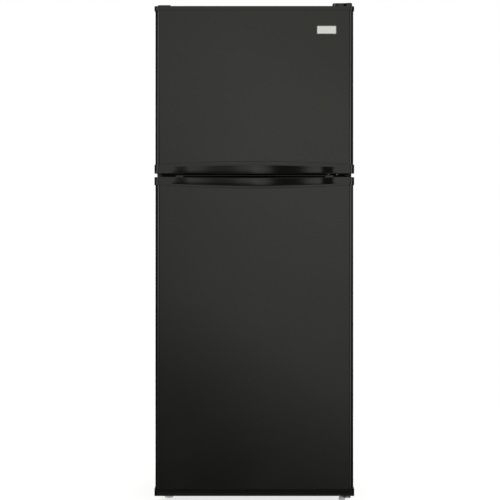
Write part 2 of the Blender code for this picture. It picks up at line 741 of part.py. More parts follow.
def fridge_door():
    axis = axis_at("fridge_door_axis", (HINGE_X, HINGE_Y, DOOR_BOTTOM))
    cap_low = DOOR_BOTTOM + CAP_LOW_HEIGHT
    dike = (0.238, 0.099, 0.943)
    parts = [
        skin("fridge_door_skin", cap_low + 0.0006, SPLIT_CAP_LOW - GAP),
        door_foam("fridge_door_foam", cap_low + GAP, SPLIT_CAP_LOW - GAP, dike),
        door_liner("fridge_door_liner", DOOR_BOTTOM + 0.0025, DOOR_SPLIT_LOW - 0.0025, dike),
        gasket("fridge_door_gasket", 0.052, 0.977),
    ]
    arc = [(-ARC_HALF, 0.97)] + arc_edge(SPLIT_CAP_LOW - SEAM, -ARC_RISE) + [(ARC_HALF, 0.97)]
    cut(parts[0], prism("fridge_arc_cut", arc, "XZ", FRONT - 0.01, FRONT + 0.0035))

    upper = cap("fridge_top_cap", SPLIT_CAP_LOW, DOOR_SPLIT_LOW)
    inset = 0.0004
    apron = [(-ARC_HALF + inset, 0.966)]
    apron += [(x * (1 - inset / ARC_HALF), z) for x, z in arc_edge(SPLIT_CAP_LOW, -ARC_RISE)]
    apron += [(ARC_HALF - inset, 0.966)]
    lip = [(FRONT, 0.9858), (FRONT, 0.9848), (FRONT + 0.0045, 0.9848), (FRONT + 0.0045, 0.978)]
    lip += [(FRONT + 0.006, 0.978), (FRONT + 0.006, 0.9858)]
    ridge = prism("fridge_ridge", lip, "YZ", -SHOULDER - 0.045, SHOULDER + 0.045)
    join(upper, prism("fridge_apron", apron, "XZ", FRONT, FRONT + SKIN), ridge)
    cut(upper, pin_hole("fridge_top_hole", 0.9640, DOOR_SPLIT_LOW + 0.01))
    lower = cap("fridge_bottom_cap", DOOR_BOTTOM, cap_low)
    side_view = rounded([
        (FRONT, cap_low + 0.01, 0),
        (FRONT, DOOR_BOTTOM, TOE_ROUND),
        (DOOR_BACK + 0.01, DOOR_BOTTOM, 0),
        (DOOR_BACK + 0.01, cap_low + 0.01, 0),
    ])
    common(lower, prism("fridge_toe_round", side_view, "YZ", -CAP_HALF - 0.01, CAP_HALF + 0.01))
    cut(lower, pin_hole("fridge_low_hole", DOOR_BOTTOM - 0.01, 0.036))
    parts += [upper, lower]
    parts.append(handle("fridge_handle", (0.9600, 0.9800), (0.9545, 0.9775), 0.90, 0.9740))
    for part in parts + bins(axis):
        hang(part, axis)


def bins(axis):
    """What the lower door carries inside: a dairy box with its flap, and two trays."""
    back = LINER_FACE - 0.006
    wall = 0.0025
    corner = (DAIRY_HALF, BIN_DEPTH, DAIRY_HIGH)
    dairy = box("dairy_bin", (-DAIRY_HALF, back, DAIRY_LOW), corner, CLEAR_PLASTIC)
    inside = box(
        "dairy_inside",
        (-DAIRY_HALF + wall, back + wall, DAIRY_LOW + wall),
        (DAIRY_HALF - wall, BIN_DEPTH - wall, DAIRY_HIGH - wall),
    )
    mouth_half = DAIRY_HALF - wall
    mouth = box("dairy_mouth", (-mouth_half, -0.160, 0.850), (mouth_half, BIN_DEPTH + 0.01, 0.930))
    pivot = (0, LID_PIVOT_Y, LID_PIVOT_Z)
    cut(dairy, inside, mouth, cylinder("dairy_pivot_holes", pivot, 0.0022, 0.5, "X", facets=16))
    lid_axis = hang(axis_at("dairy_lid_axis", pivot), axis)
    bpy.context.view_layer.update()
    half = DAIRY_HALF - wall - 0.0005
    lid = box(
        "dairy_lid",
        (-half, LID_PIVOT_Y - 0.0015, 0.8505),
        (half, LID_PIVOT_Y + 0.0015, LID_PIVOT_Z),
        CLEAR_PLASTIC,
    )
    barrel = cylinder("lid_barrel", pivot, 0.0028, 2 * half - 0.001, "X", facets=16)
    pins = cylinder("lid_pins", pivot, 0.0018, 2 * DAIRY_HALF - 0.001, "X", facets=16)
    hang(join(lid, barrel, pins), lid_axis)
    return [
        dairy,
        bin_tray("middle_bin", 0.520, 0.610, 0.205, BIN_DEPTH),
        bin_tray("gallon_bin", 0.150, 0.270, 0.205, BIN_DEPTH),
    ]


# Inside the cabinet ---------------------------------------------------------------------------

def shelf(name, height, half, front, back, rim=0.012):
    """Tempered glass held in a moulded frame."""
    low, high = height - 0.006, height + 0.006
    inner = half - rim
    frame = box(f"{name}_frame", (-half, front, low), (half, back, high), WHITE_PLASTIC)
    inside = box(f"{name}_opening", (-inner, front + rim, low - 0.01), (inner, back - rim, high + 0.01))
    cut(frame, inside)
    glass_half = half - rim - GAP
    box(
        f"{name}_glass",
        (-glass_half, front + rim + GAP, height - 0.002),
        (glass_half, back - rim - GAP, height + 0.002),
        GLASS,
    )


def crisper():
    """Drawer under the lowest shelf, with a grip lip along its front."""
    low, high = (-0.236, -0.118, FRIDGE_LOW + 0.001), (0.236, 0.070, 0.268)
    drawer = open_box("crisper_drawer", low, high, 0.003, CLEAR_PLASTIC)
    lip = box("crisper_lip", (-0.236, -0.121, 0.245), (0.236, -0.1165, 0.268))
    return join(drawer, lip)


def controls():
    """Ceiling unit of the lower cavity: thermostat knob, lamp and the door switch."""
    half, low, high = 0.110, 0.9170, FRIDGE_HIGH - GAP
    front, back = -0.195, 0.060
    unit = bevelled(box("control_box", (-half, front, low), (half, back, high), WHITE_PLASTIC), 0.002)
    cut(unit, box("control_lamp_recess", (-0.085, -0.060, low - 0.01), (0.085, 0.045, low + 0.012)))
    switch_x, switch_z = 0.070, 0.932
    cut(unit, cylinder("switch_hole", (switch_x, front, switch_z), 0.0048, 0.070, "Y", facets=20))
    tip, tail = LINER_FACE + 0.038 + GAP, -0.175
    cylinder(
        "door_switch_plunger",
        (switch_x, (tip + tail) / 2, switch_z),
        0.0042,
        tail - tip,
        "Y",
        WHITE_PLASTIC,
        20,
    )
    lens = box("lamp_cover", (-0.0845, -0.0595, low - 0.004), (0.0845, 0.0445, low + 0.0117), CLEAR_PLASTIC)
    bevelled(lens, 0.001)
    knob_x, knob_z = -0.045, 0.9355
    cut(unit, cylinder("spindle_hole", (knob_x, front, knob_z), 0.0034, 0.030, "Y", facets=16))
    knob = cylinder("temperature_knob", (knob_x, front - 0.0065, knob_z), 0.0150, 0.0120, "Y", GREY_PLASTIC)
    join(knob, cylinder("knob_spindle", (knob_x, front, knob_z), 0.0030, 0.020, "Y", facets=16))
    ridge = box(
        "knob_ridge",
        (knob_x - 0.0030, front - 0.0175, knob_z - 0.0135),
        (knob_x + 0.0030, front - 0.0100, knob_z + 0.0135),
    )
    join(knob, ridge)


def freezer_inside():
    shelf_half = FREEZER_HALF - 0.002
    shelf_top = FREEZER_SHELF + 0.0045
    box("freezer_shelf", (-shelf_half, -0.150, FREEZER_SHELF), (shelf_half, 0.165, shelf_top), GLASS)
    low, high = FREEZER_LOW + GAP, FREEZER_HIGH - GAP
    half = FREEZER_HALF - GAP
    front = 0.178
    cover = box("evaporator_cover", (-half, front, low), (half, front + 0.0025, high), WHITE_PLASTIC)
    slots = []
    for row in range(7):
        reach = 0.042 * math.sqrt(1 - ((row - 3) / 3.6) ** 2)
        z = FAN_Z + (row - 3) * 0.012
        slots.append(((FAN_X - reach, front - 0.01, z - 0.003), (FAN_X + reach, front + 0.01, z + 0.003)))
    for column in range(8):
        x = -0.14 + 0.04 * column
        slots.append(((x - 0.012, front - 0.01, 1.030), (x + 0.012, front + 0.01, 1.040)))
    cut(cover, boxes("evaporator_slots", slots))
    slider_x, slider_z = -0.170, 1.110
    plate = box(
        "freezer_air_slider",
        (slider_x - 0.014, front - 0.0033, slider_z - 0.006),
        (slider_x + 0.014, front - GAP, slider_z + 0.006),
        GREY_PLASTIC,
    )
    tab = box(
        "slider_tab",
        (slider_x - 0.003, front - 0.011, slider_z - 0.005),
        (slider_x + 0.003, front - 0.003, slider_z + 0.005),
    )
    join(plate, tab)

    box("evaporator", (-0.180, 0.192, 1.060), (0.180, 0.250, 1.270), ALUMINIUM)
    motor = cylinder("fan_motor", (FAN_X, 0.2270, FAN_Z), 0.026, 0.036, "Y", GREY_PLASTIC)
    join(motor, cylinder("fan_shaft", (FAN_X, 0.2050, FAN_Z), 0.0020, 0.020, "Y", facets=16))
    arms_low, arms_high = (FAN_X - 0.075, 0.238, FAN_Z - 0.008), (FAN_X + 0.075, 0.2445, FAN_Z + 0.008)
    arms = box("fan_motor_arms", arms_low, arms_high)
    join(motor, arms)
    fan()


def fan():
    """Hub with five pitched blades, in front of its motor."""
    y = 0.195
    blade = cylinder("fan_blade", (FAN_X, y, FAN_Z), 0.014, 0.016, "Y", GREY_PLASTIC, 24)
    for k in range(5):
        vane = box(f"fan_vane_{k}", (0.010, -0.00075, -0.012), (0.050, 0.00075, 0.012))
        turn = Matrix.Rotation(2 * math.pi * k / 5, 4, "Y")
        pitch = Matrix.Rotation(math.radians(62), 4, "X")
        vane.data.transform(Matrix.Translation(vane.location))
        vane.location = (0, 0, 0)
        vane.data.transform(Matrix.Translation((FAN_X, y, FAN_Z)) @ turn @ pitch)
        join(blade, vane)
    cut(blade, cylinder("fan_bore", (FAN_X, 0.2000, FAN_Z), 0.0024, 0.012, "Y", facets=16))


def fridge_inside():
    shelf("crisper_cover", SHELF_HEIGHTS[0], 0.2525, -0.120, 0.270)
    shelf("lower_shelf", SHELF_HEIGHTS[1], 0.2525, -0.112, 0.238)
    shelf("upper_shelf", SHELF_HEIGHTS[2], 0.2525, -0.112, 0.238)
    crisper()
    controls()
    duct = box("air_duct", (-0.075, 0.2450, 0.330), (0.075, FRIDGE_DEPTH - GAP, 0.905), WHITE_PLASTIC)
    vents = []
    for row in range(8):
        z = 0.380 + 0.062 * row
        vents.append(((-0.050, 0.240, z), (0.050, 0.252, z + 0.006)))
    cut(bevelled(duct, 0.003), boxes("duct_vents", vents))


def machine_bay():
    """Compressor with its feet, and the tray above it where melt water dries off."""
    x, y = -0.120, 0.218
    base = CABINET_FLOOR + LINER
    profile = [
        (0, 0.205), (0.030, 0.203), (0.055, 0.193), (0.070, 0.172), (0.073, 0.150),
        (0.073, 0.148), (0.077, 0.147), (0.077, 0.143), (0.073, 0.142),
        (0.071, 0.090), (0.058, 0.070), (0.030, 0.062), (0, 0.062),
    ]
    pot = turned("compressor", (x, y, 0), profile, COMPRESSOR_PAINT)
    feet = box("compressor_feet", (x - 0.085, y - 0.060, 0.0590), (x + 0.085, y + 0.060, 0.0640))
    join(pot, feet)
    for i, (dx, dy) in enumerate(((-1, -1), (-1, 1), (1, -1), (1, 1))):
        low = base + GAP
        middle = (x + dx * 0.070, y + dy * 0.046, (low + 0.060) / 2)
        join(pot, cylinder(f"mount_{i}", middle, 0.010, 0.060 - low, facets=16))
    relay = box("relay_cover", (x + 0.060, y - 0.030, 0.090), (x + 0.100, y + 0.030, 0.140))
    join(pot, relay)
    tray_low, tray_high = (x - 0.100, 0.140, 0.2080), (x + 0.110, 0.300, 0.2330)
    open_box("evaporation_tray", tray_low, tray_high, 0.002, BLACK_PLASTIC)


def discharge_tube():
    """Copper line that leaves the compressor and rises along the bay."""
    route = [
        (-0.020, 0.218, 0.160), (0.010, 0.215, 0.160), (0.040, 0.200, 0.150), (0.080, 0.190, 0.110),
        (0.130, 0.190, 0.075), (0.190, 0.200, 0.070), (0.235, 0.220, 0.090), (0.245, 0.240, 0.130),
        (0.235, 0.255, 0.170), (0.190, 0.265, 0.190), (0.120, 0.262, 0.180), (0.060, 0.255, 0.150),
        (0.040, 0.250, 0.110),
    ]
    curve = bpy.data.curves.new("discharge_tube", "CURVE")
    curve.dimensions = "3D"
    curve.bevel_depth = 0.003
    curve.bevel_resolution = 2
    curve.use_fill_caps = True
    spline = curve.splines.new("POLY")
    points = smooth(route, 4)
    spline.points.add(len(points) - 1)
    for point, co in zip(spline.points, points):
        point.co = (*co, 1)
    tube = bpy.data.objects.new("discharge_tube", curve)
    curve.materials.append(STEEL)
    PARTS.objects.link(tube)


def smooth(route, steps):
    """Catmull-Rom points through a route."""
    points = [Vector(p) for p in route]
    ends = [2 * points[0] - points[1]] + points + [2 * points[-1] - points[-2]]
    found = []
    for a, b, c, d in zip(ends, ends[1:], ends[2:], ends[3:]):
        for k in range(steps):
            t = k / steps
            bend = (2 * a - 5 * b + 4 * c - d) * t**2 + (3 * b - a - 3 * c + d) * t**3
            found.append(0.5 * (2 * b + (c - a) * t + bend))
    return found + [points[-1]]


cabinet()
hinges()
freezer_door()
fridge_door()
freezer_inside()
fridge_inside()
machine_bay()
discharge_tube()

for part in PARTS.objects:
    if part.type == "MESH":
        part.data.set_sharp_from_angle(angle=math.radians(30))
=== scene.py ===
"""Looks for the top freezer refrigerator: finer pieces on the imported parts, materials, lights and camera."""

import math

import bmesh
import bpy
from mathutils import Matrix, Vector

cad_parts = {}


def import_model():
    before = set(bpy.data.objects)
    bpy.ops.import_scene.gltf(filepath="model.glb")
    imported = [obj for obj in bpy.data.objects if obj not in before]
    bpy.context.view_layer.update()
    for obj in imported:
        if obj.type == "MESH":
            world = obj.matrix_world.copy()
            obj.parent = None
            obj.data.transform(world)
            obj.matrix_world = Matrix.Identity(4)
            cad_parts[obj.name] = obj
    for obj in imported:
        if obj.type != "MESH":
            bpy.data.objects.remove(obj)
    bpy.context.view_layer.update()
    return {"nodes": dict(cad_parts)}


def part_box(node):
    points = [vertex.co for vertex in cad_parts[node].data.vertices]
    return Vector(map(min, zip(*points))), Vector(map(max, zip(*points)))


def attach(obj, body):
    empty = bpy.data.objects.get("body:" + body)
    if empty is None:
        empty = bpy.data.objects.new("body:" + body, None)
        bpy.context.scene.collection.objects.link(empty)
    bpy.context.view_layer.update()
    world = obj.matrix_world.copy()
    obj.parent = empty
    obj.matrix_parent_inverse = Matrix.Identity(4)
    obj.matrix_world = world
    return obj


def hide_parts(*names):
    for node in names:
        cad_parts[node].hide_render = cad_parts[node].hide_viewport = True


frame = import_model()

NODES = frame["nodes"]
SCENE = bpy.context.scene


# Materials ------------------------------------------------------------------------------------

class Surface:
    """A Principled material whose colour, roughness and relief come from noise in object space."""

    def __init__(self, name, colour, roughness, metallic=0.0, **sockets):
        self.material = bpy.data.materials.new(name)
        self.material.use_nodes = True
        self.nodes = self.material.node_tree.nodes
        self.shader = self.nodes["Principled BSDF"]
        self.colour = colour
        self.set("Base Color", (*colour, 1.0))
        self.set("Roughness", roughness)
        self.set("Metallic", metallic)
        for socket, value in sockets.items():
            self.set(socket.replace("_", " "), value)
        self.roughness = roughness
        self.coords = self.nodes.new("ShaderNodeTexCoord")
        self.height = None

    def set(self, socket, value):
        self.shader.inputs[socket].default_value = value

    def link(self, source, target):
        self.material.node_tree.links.new(source, target)

    def mapped(self, stretch):
        if stretch == (1, 1, 1):
            return self.coords.outputs["Object"]
        mapping = self.nodes.new("ShaderNodeMapping")
        mapping.inputs["Scale"].default_value = stretch
        self.link(self.coords.outputs["Object"], mapping.inputs["Vector"])
        return mapping.outputs["Vector"]

    def noise(self, scale, detail=2.0, stretch=(1, 1, 1)):
        made = self.nodes.new("ShaderNodeTexNoise")
        made.inputs["Scale"].default_value = scale
        made.inputs["Detail"].default_value = detail
        self.link(self.mapped(stretch), made.inputs["Vector"])
        return made.outputs["Fac"]

    def cells(self, scale, output="Distance"):
        made = self.nodes.new("ShaderNodeTexVoronoi")
        made.inputs["Scale"].default_value = scale
        self.link(self.coords.outputs["Object"], made.inputs["Vector"])
        return made.outputs[output]

    def ranged(self, value, low, high, start=0.3, end=0.7):
        made = self.nodes.new("ShaderNodeMapRange")
        for socket, number in zip(("From Min", "From Max", "To Min", "To Max"), (start, end, low, high)):
            made.inputs[socket].default_value = number
        self.link(value, made.inputs["Value"])
        return made.outputs["Result"]

    def tint(self, value, amount):
        """Varies the base colour by an amount as value goes from low to high."""
        mix = self.nodes.new("ShaderNodeMix")
        mix.data_type = "RGBA"
        darker = [c * (1 - amount) for c in self.colour]
        lighter = [min(c * (1 + amount), 1) for c in self.colour]
        mix.inputs["A"].default_value = (*darker, 1)
        mix.inputs["B"].default_value = (*lighter, 1)
        self.link(self.ranged(value, 0, 1), mix.inputs["Factor"])
        self.link(mix.outputs["Result"], self.shader.inputs["Base Color"])
        return self

    def rough(self, value, spread):
        low, high = self.roughness - spread, self.roughness + spread
        self.link(self.ranged(value, low, high), self.shader.inputs["Roughness"])
        return self

    def relief(self, value, distance, strength=1.0):
        bump = self.nodes.new("ShaderNodeBump")
        bump.inputs["Strength"].default_value = strength
        bump.inputs["Distance"].default_value = distance
        self.link(value, bump.inputs["Height"])
        if self.height:
            self.link(self.height, bump.inputs["Normal"])
        self.height = bump.outputs["Normal"]
        self.link(self.height, self.shader.inputs["Normal"])
        return self


def paint_surface():
    made = Surface("black_enamel", (0.0018, 0.0018, 0.0014), 0.13)
    made.tint(made.noise(3.0), 0.15)
    made.rough(made.noise(5.0, 3.0), 0.02)
    return made.relief(made.noise(420.0, 2.0), 0.00001, 0.2)


def gloss_surface():
    made = Surface("black_gloss_plastic", (0.0016, 0.0016, 0.0013), 0.1)
    made.tint(made.noise(6.0), 0.15)
    made.rough(made.noise(9.0, 3.0), 0.02)
    return made.relief(made.noise(260.0), 0.00001, 0.12)


def cap_surface(name, shine):
    made = Surface(name, (0.0020, 0.0020, 0.0016), 0.16)
    made.set("Specular IOR Level", shine)
    made.tint(made.noise(8.0), 0.15)
    made.rough(made.noise(14.0, 3.0), 0.03)
    return made.relief(made.noise(700.0, 3.0), 0.00001, 0.25)


def moulded_surface(name, colour, roughness, grain=900.0, **sockets):
    """Moulded plastic: faint cloudiness and a fine grain."""
    made = Surface(name, colour, roughness, **sockets)
    made.tint(made.noise(12.0, 3.0), 0.05)
    made.rough(made.noise(25.0, 3.0), 0.05)
    return made.relief(made.noise(grain, 3.0), 0.00002, 0.5)


def liner_surface():
    made = Surface("white_liner_plastic", (0.78, 0.79, 0.78), 0.3)
    made.tint(made.noise(4.0), 0.012)
    made.rough(made.noise(10.0, 3.0), 0.012)
    made.relief(made.noise(30.0), 0.00005, 0.1)
    return made.relief(made.noise(800.0, 3.0), 0.00002, 0.4)


def clear_surface(name, colour, roughness, transmission):
    made = Surface(name, colour, roughness, IOR=1.49)
    made.set("Transmission Weight", transmission)
    made.tint(made.noise(15.0), 0.03)
    made.rough(made.noise(40.0, 3.0), 0.02)
    return made.relief(made.noise(60.0), 0.00001, 0.3)


def zinc_surface():
    made = Surface("galvanised_steel", (0.50, 0.51, 0.52), 0.42, 0.85)
    made.tint(made.cells(150.0, "Color"), 0.05)
    made.rough(made.noise(70.0, 4.0), 0.08)
    return made.relief(made.noise(300.0, 4.0), 0.00002, 0.5)


def brushed_surface(name, colour, roughness, stretch):
    made = Surface(name, colour, roughness, 1.0)
    made.tint(made.noise(900.0, 4.0, stretch), 0.08)
    made.rough(made.noise(900.0, 4.0, stretch), 0.06)
    return made.relief(made.noise(1500.0, 3.0, stretch), 0.00001, 0.5)


def rubber_surface():
    made = Surface("gasket_rubber", (0.012, 0.012, 0.012), 0.55)
    made.tint(made.noise(20.0, 3.0), 0.2)
    made.rough(made.noise(50.0, 3.0), 0.08)
    return made.relief(made.noise(1200.0, 4.0), 0.00003, 0.6)


def foam_surface():
    made = Surface("polyurethane_foam", (0.80, 0.68, 0.40), 0.9)
    made.tint(made.noise(9.0, 5.0), 0.15)
    return made.relief(made.cells(500.0), 0.0005, 0.8)


PAINT = paint_surface().material
GLOSS = gloss_surface().material
CAP = cap_surface("black_cap_plastic", 0.5).material
# The bottom cap gets a copy of the cap plastic with less shine: painted shade that keeps it darker than the
# same plastic higher up.
SHADED_CAP = cap_surface("black_cap_plastic_shaded", 0.18).material
BLACK = moulded_surface("black_moulded_plastic", (0.012, 0.012, 0.012), 0.5).material
STIPPLE = moulded_surface("black_stippled_paint", (0.016, 0.016, 0.0155), 0.34, 420.0).material
RAIL = moulded_surface("black_satin_paint", (0.003, 0.003, 0.003), 0.6, 400.0).material
# SHADE is a matte black with almost no shine, set where there is only shade: painted shade.
SHADE = moulded_surface("painted_shade_black", (0.002, 0.002, 0.002), 0.9, **{"Specular IOR Level": 0.03}).material
GREY = moulded_surface("grey_moulded_plastic", (0.50, 0.51, 0.52), 0.45).material
WHITE = moulded_surface("white_moulded_plastic", (0.80, 0.81, 0.80), 0.33).material
LINER = liner_surface().material
CLEAR = clear_surface("clear_plastic", (0.93, 0.97, 0.98), 0.08, 0.92).material
GLASS = clear_surface("tempered_glass", (0.82, 0.94, 0.90), 0.03, 1.0).material
LENS = moulded_surface("frosted_lens", (0.90, 0.91, 0.90), 0.4, Transmission_Weight=0.45).material
ZINC = zinc_surface().material
BADGE = brushed_surface("brushed_nickel", (0.90, 0.90, 0.88), 0.33, (1, 40, 60)).material
BADGE_RIM = brushed_surface("polished_rim", (0.72, 0.72, 0.71), 0.2, (40, 1, 1)).material
FIN = brushed_surface("aluminium_fins", (0.72, 0.73, 0.74), 0.35, (30, 1, 1)).material
TUBE = brushed_surface("steel_tube", (0.42, 0.40, 0.38), 0.35, (20, 20, 20)).material
SCREW = brushed_surface("screw_steel", (0.55, 0.55, 0.54), 0.3, (10, 10, 10)).material
RUBBER = rubber_surface().material
FOAM = foam_surface().material
POT = Surface("compressor_enamel", (0.012, 0.012, 0.012), 0.3)
POT = POT.tint(POT.noise(20.0, 4.0), 0.3).relief(POT.noise(500.0, 3.0), 0.00003, 0.6).material

LOOKS = {
    PAINT: "freezer_door_skin fridge_door_skin",
    STIPPLE: "cabinet_shell rear_cover",
    RAIL: "divider_rail middle_hinge",
    CAP: "freezer_top_cap freezer_bottom_cap fridge_top_cap hinge_hole_plug",
    SHADED_CAP: "fridge_bottom_cap",
    BLACK: "base_frame cord_gland evaporation_tray",
    WHITE: "control_box evaporator_cover air_duct door_switch_plunger "
           "lower_shelf_frame upper_shelf_frame crisper_cover_frame",
    GREY: "temperature_knob freezer_air_slider fan_motor fan_blade foot_left foot_right "
          "rear_roller_left rear_roller_right",
    CLEAR: "dairy_bin dairy_lid",
    GLASS: "lower_shelf_glass upper_shelf_glass crisper_cover_glass freezer_shelf",
    LENS: "lamp_cover",
    ZINC: "back_panel top_hinge bottom_hinge",
    FIN: "evaporator",
    TUBE: "discharge_tube",
    FOAM: "insulation_foam freezer_door_foam fridge_door_foam",
    POT: "compressor",
}
EDGE_WIDTHS = {
    "freezer_top_cap": 0.0012, "freezer_bottom_cap": 0.0005, "fridge_top_cap": 0.0005,
    "fridge_bottom_cap": 0.0010, "hinge_hole_plug": 0, "cabinet_shell": 0.0005,
    "freezer_door_skin": 0.0004, "fridge_door_skin": 0.0004, "temperature_knob": 0.0012,
    "lower_shelf_frame": 0.002, "upper_shelf_frame": 0.002, "crisper_cover_frame": 0.002,
    "back_panel": 0.0003, "rear_cover": 0.0003, "evaporator_cover": 0.0006, "air_duct": 0.0008,
    "lower_shelf_glass": 0.0008, "upper_shelf_glass": 0.0008, "crisper_cover_glass": 0.0008,
    "freezer_shelf": 0.001, "discharge_tube": 0, "compressor": 0.0008, "insulation_foam": 0,
}


def dress(node, material):
    """Gives a CAD node its material, and rounds its edges for the light."""
    obj = NODES[node]
    obj.data.materials.clear()
    obj.data.materials.append(material)
    obj.data.shade_smooth()
    weld = obj.modifiers.new("weld", "WELD")
    weld.merge_threshold = 0.00001
    width = EDGE_WIDTHS.get(node, 0.0006)
    if width:
        bevel = obj.modifiers.new("edges", "BEVEL")
        bevel.width = width
        bevel.segments = 2
        bevel.limit_method = "ANGLE"
        bevel.angle_limit = math.radians(35)
    normals = obj.modifiers.new("normals", "WEIGHTED_NORMAL")
    normals.keep_sharp = True


for look, names in LOOKS.items():
    for node in names.split():
        dress(node, look)


# Modelling helpers ----------------------------------------------------------------------------

def piece(name, bm, material, body, replaces=(), smooth=35, edges=0.0, sheet=0.0):
    """Turns a bmesh into a shown piece that rides on a body."""
    bm.normal_update()
    mesh = bpy.data.meshes.new(name)
    bm.to_mesh(mesh)
    bm.free()
    mesh.materials.append(material)
    mesh.shade_smooth()
    mesh.set_sharp_from_angle(angle=math.radians(smooth))
    obj = bpy.data.objects.new(name, mesh)
    SCENE.collection.objects.link(obj)
    if sheet:
        solid = obj.modifiers.new("sheet", "SOLIDIFY")
        solid.thickness = abs(sheet)
        solid.offset = math.copysign(1, sheet)
        solid.use_even_offset = False
    if edges:
        bevel = obj.modifiers.new("edges", "BEVEL")
        bevel.width = edges
        bevel.segments = 3
        bevel.limit_method = "ANGLE"
        bevel.angle_limit = math.radians(smooth)
        obj.modifiers.new("normals", "WEIGHTED_NORMAL").keep_sharp = True
    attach(obj, body)
    if replaces:
        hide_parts(*replaces)


def loft(rings, along=False, caps=True):
    """A skin over closed rings of points. along joins the last ring to the first."""
    bm = bmesh.new()
    made = [[bm.verts.new(p) for p in ring] for ring in rings]
    pairs = list(zip(made, made[1:]))
    if along:
        pairs.append((made[-1], made[0]))
    size = len(made[0])
    for first, second in pairs:
        for k in range(size):
            n = (k + 1) % size
            bm.faces.new((first[k], first[n], second[n], second[k]))
    if caps and not along:
        bm.faces.new(made[0][::-1])
        bm.faces.new(made[-1])
    bmesh.ops.recalc_face_normals(bm, faces=bm.faces)
    return bm


def corner_ring(x0, x1, y0, y1, radius, steps=6):
    """Points of a rectangle with round corners, counter-clockwise."""
    points = []
    for cx, cy, turn in ((x1, y1, 0), (x0, y1, 90), (x0, y0, 180), (x1, y0, 270)):
        ox = cx - math.copysign(radius, cx - (x0 + x1) / 2)
        oy = cy - math.copysign(radius, cy - (y0 + y1) / 2)
        for k in range(steps + 1):
            a = math.radians(turn + 90 * k / steps)
            points.append((ox + radius * math.cos(a), oy + radius * math.sin(a)))
    return points


def add_box(bm, low, high):
    """Adds a box between two corners, and returns its vertices."""
    low, high = Vector(low), Vector(high)
    matrix = Matrix.Translation((low + high) / 2) @ Matrix.Diagonal((*(high - low), 1))
    return bmesh.ops.create_cube(bm, size=1.0, matrix=matrix)["verts"]


# Door grips -----------------------------------------------------------------------------------

DOOR_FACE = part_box("fridge_door_skin")[0].y
GRIP_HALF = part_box("fridge_handle")[1].x
SHOULDER, GRIP_END, GRIP_BOW = 0.192, 0.0055, 0.0182
POCKET_HALF, POCKET_FADE, POCKET_FLOOR, GRIP_WALL = 0.196, 0.03, 0.0045, 0.005


def bow(x):
    """How far the grip stands out from the door at x."""
    swell = min(abs(x) / SHOULDER, 1.0)
    fade = min(max((abs(x) - SHOULDER) / (GRIP_HALF - SHOULDER), 0.0), 1.0)
    ends = GRIP_END * (0.5 + 0.5 * math.cos(math.pi * fade))
    return ends + GRIP_BOW * (0.5 + 0.5 * math.cos(math.pi * swell))


def arc(centre, radius, start, end, steps):
    """Points along an arc between two angles in degrees."""
    points = []
    for k in range(steps + 1):
        a = math.radians(start + (end - start) * k / steps)
        points.append((centre[0] + radius * math.cos(a), centre[1] + radius * math.sin(a)))
    return points


def grip(name, node, ends, centre, opens_up, body):
    """Bowed grip with a finger pocket behind it, open at the top or at the bottom."""
    rings = []
    count = 120
    back = DOOR_FACE - 0.0003
    for k in range(count + 1):
        x = GRIP_HALF * (2 * k / count - 1)
        share = math.cos(math.pi / 2 * x / GRIP_HALF)
        low = ends[0] + (centre[0] - ends[0]) * share
        high = ends[1] + (centre[1] - ends[1]) * share
        depth = max(bow(x), 0.0002)
        edge = min(0.0020, depth * 0.3)
        front = back - depth
        fade = min(max((POCKET_HALF - abs(x)) / POCKET_FADE, 0), 1)
        fade = fade * fade * (3 - 2 * fade)
        sink = (high - low - POCKET_FLOOR) * fade + 0.0002
        inner = front + min(GRIP_WALL, depth * 0.6)
        lip = min(0.0008, depth * 0.2)
        section = [(back, high), (back - lip, high), (back - lip, high - sink), (inner + lip, high - sink)]
        section += [(inner, high - sink + 0.0001), (inner, high)]
        section += arc((front + edge, high - edge), edge, 90, 180, 5)
        section += arc((front + edge, low + edge), edge, 180, 270, 5)
        section.append((back, low))
        if not opens_up:
            section = [(y, low + high - z) for y, z in section]
        rings.append([(x, y, z) for y, z in section])
    piece(name, loft(rings), GLOSS, body, (node,), smooth=40)


grip("freezer_grip", "freezer_handle", (0.9935, 1.0110), (0.9895, 1.0165), True, "freezer_door")
grip("fridge_grip", "fridge_handle", (0.9600, 0.9800), (0.9545, 0.9775), False, "fridge_door")


# Badge, hinge cover ---------------------------------------------------------------------------

def badge():
    """Blank plate with a raised polished rim round a brushed face."""
    low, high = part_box("badge_plate")

    def plate(name, levels, radius, material, replaces=()):
        rings = []
        for inset, y in levels:
            corner = radius - inset * 0.8
            ring = corner_ring(low.x + inset, high.x - inset, low.z + inset, high.z - inset, corner)
            rings.append([(x, y, z) for x, z in ring])
        bm = loft(rings, caps=False)
        bm.verts.ensure_lookup_table()
        bm.faces.new(bm.verts[-len(rings[-1]):])
        bmesh.ops.recalc_face_normals(bm, faces=bm.faces)
        piece(name, bm, material, "freezer_door", replaces, smooth=20, sheet=-0.0002)

    rim = [(0.0, high.y), (0.0, low.y + 0.0005), (0.0005, low.y), (0.0014, low.y), (0.0018, low.y + 0.0004)]
    plate("badge_rim", rim, 0.0022, BADGE_RIM, ("badge_plate",))
    face = [(0.0019, low.y + 0.0004), (0.0021, low.y + 0.0002)]
    plate("badge_face", face, 0.0026, BADGE)


GROOVE_Y, SKIRT_LOW = -0.2896, 1.4955    # back of the groove, and the cover's lower edge


